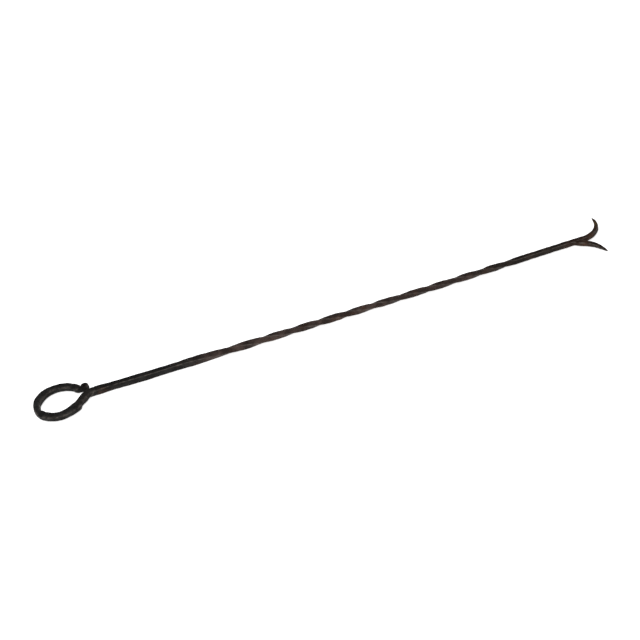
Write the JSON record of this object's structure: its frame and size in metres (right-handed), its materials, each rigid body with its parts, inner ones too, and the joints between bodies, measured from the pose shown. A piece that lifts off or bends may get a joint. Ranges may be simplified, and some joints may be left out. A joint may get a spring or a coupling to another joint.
{
  "type": "meat hook",
  "caption": "Long hand-forged iron meat hook: an open ring handle on a square bar with a twisted stretch, ending in a bent hook tine and a spur tine.",
  "frame": {"origin": "centre of the eye of the ring handle, halfway through its height", "axes": "+X along the bar from the eye to the tines, +Y to the side that the hook tine bends to, +Z square to the plane of the eye"},
  "size_m": [0.7607, 0.0768, 0.0114],
  "materials": {
    "handle_iron": "forge-blackened wrought iron, hammered, worn smooth by the hand",
    "bar_iron": "dark wrought iron with brown rust in the twist",
    "tine_iron": "dark wrought iron with thin golden-brown rust"
  },
  "bodies": {
    "root": {"ring_handle": "handle_iron", "shank": "bar_iron", "hook_tine": "tine_iron", "spur_tine": "tine_iron"}
  },
  "joints": []
}
